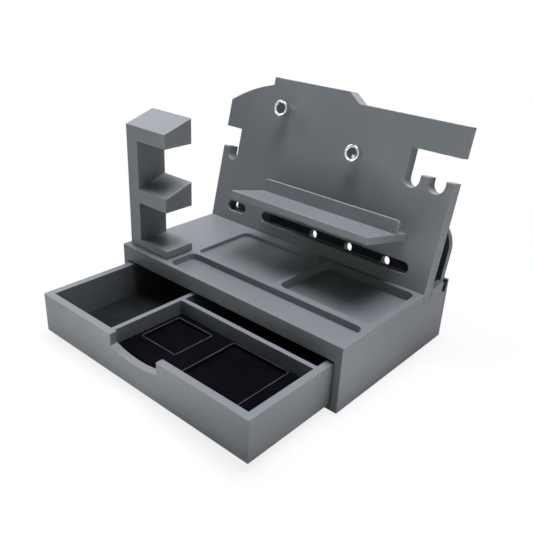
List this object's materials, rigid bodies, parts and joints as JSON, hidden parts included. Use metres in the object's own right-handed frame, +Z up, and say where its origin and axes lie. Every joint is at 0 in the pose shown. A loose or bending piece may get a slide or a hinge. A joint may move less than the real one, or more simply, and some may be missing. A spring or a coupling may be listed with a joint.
{
  "type": "valet box with drawer",
  "caption": "Desk valet box: recessed tray over a sliding drawer, leaning display panel with hooks, phone shelf, knobs and headphone ledge, and a watch stand.",
  "frame": {"origin": "middle of the box's underside, halfway across and halfway from its front to its back", "axes": "+Z up, +X to the right as seen from the drawer's front, +Y to the back; the drawer pulls out along -Y"},
  "size_m": [0.35, 0.3579, 0.2821],
  "materials": {
    "painted_board": "slate grey satin paint on board",
    "felt": "short dark grey felt",
    "velvet": "black velvet",
    "piping": "grey piping",
    "steel": "zinc-plated steel",
    "chrome": "polished chrome",
    "slick_strip": "smooth low-friction plastic",
    "dowel_wood": "bare beech"
  },
  "bodies": {
    "box": {"left_side": "painted_board", "right_side": "painted_board", "base_floor": "painted_board", "back_wall": "painted_board", "tray_top": "painted_board", "side_nails": "steel", "carcass_pins": "dowel_wood", "foot_pads": "felt", "drawer_runners": "slick_strip", "drawer_bumpers": "felt", "drawer_stop": "dowel_wood", "display_panel": "painted_board", "panel_screws": "steel", "shelf": "painted_board", "shelf_screws": "steel", "shelf_lip": "painted_board", "lip_pins": "dowel_wood", "upper_knob": "chrome", "lower_knob": "chrome", "knob_screws": "steel", "rear_support": "painted_board", "stand_pad": "felt", "stand_foot": "painted_board", "stand_post": "painted_board", "upper_watch_arm": "painted_board", "lower_watch_arm": "painted_board", "stand_dowels": "dowel_wood", "stand_screws": "steel"},
    "drawer": {"drawer_front": "painted_board", "drawer_left_side": "painted_board", "drawer_right_side": "painted_board", "drawer_back": "painted_board", "drawer_floor": "painted_board", "long_divider": "painted_board", "cross_divider": "painted_board", "drawer_pins": "dowel_wood", "drawer_catches": "dowel_wood", "left_lining": "felt", "rear_lining": "felt", "velvet_insert": "velvet", "well_trims": "piping"}
  },
  "joints": [
    {"name": "drawer_slide", "type": "slide", "parent": "box", "child": "drawer", "axis": [0, -1, 0], "range_m": [-0.124, 0.026]}
  ]
}
